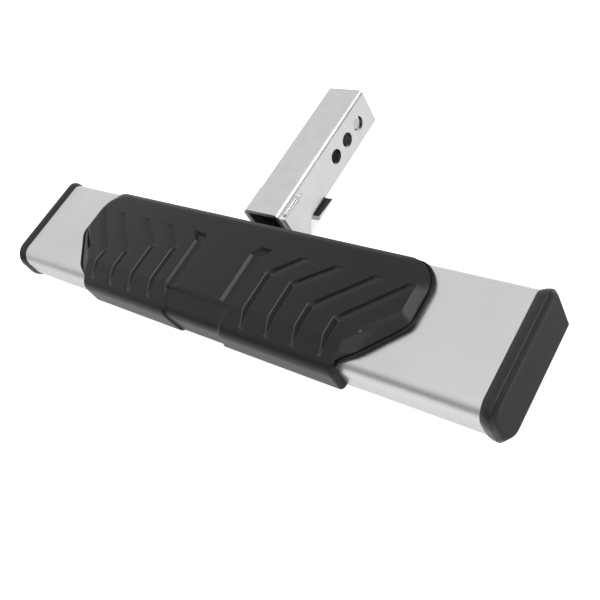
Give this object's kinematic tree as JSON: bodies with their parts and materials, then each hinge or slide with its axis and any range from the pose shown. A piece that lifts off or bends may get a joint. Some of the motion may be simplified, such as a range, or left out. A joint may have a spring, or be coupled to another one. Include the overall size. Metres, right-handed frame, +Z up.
{
  "type": "hitch receiver step",
  "caption": "Hitch receiver step: a wide brushed steel step with a moulded chevron tread pad and black end caps, carried by a bracket on a square receiver shank with pin holes.",
  "frame": {"origin": "centre of the middle pin hole, on the shank's centreline", "axes": "+X along the step and the pin holes, +Y along the shank towards the vehicle, +Z up"},
  "size_m": [0.692, 0.3378, 0.092],
  "materials": {
    "brushed_step": "satin stainless with a fine grain along the step",
    "tread_rubber": "matt moulded tread",
    "cap_plastic": "finely textured moulding",
    "zinc_steel": "bright zinc plate",
    "fastener_steel": "zinc plated",
    "stop_rubber": "matt moulding"
  },
  "bodies": {
    "root": {"step_tube": "brushed_step", "end_cap_left": "cap_plastic", "end_cap_right": "cap_plastic", "step_pad": "tread_rubber", "pad_push_nuts": "fastener_steel", "receiver_shank": "zinc_steel", "side_plate_left": "zinc_steel", "side_plate_right": "zinc_steel", "mounting_plate": "zinc_steel", "shank_welds": "zinc_steel", "mount_welds": "zinc_steel", "nut_bar_left": "fastener_steel", "nut_bar_right": "fastener_steel", "mount_washers": "fastener_steel", "mount_bolts": "fastener_steel", "receiver_stop": "stop_rubber", "stop_screws": "fastener_steel"}
  },
  "joints": []
}
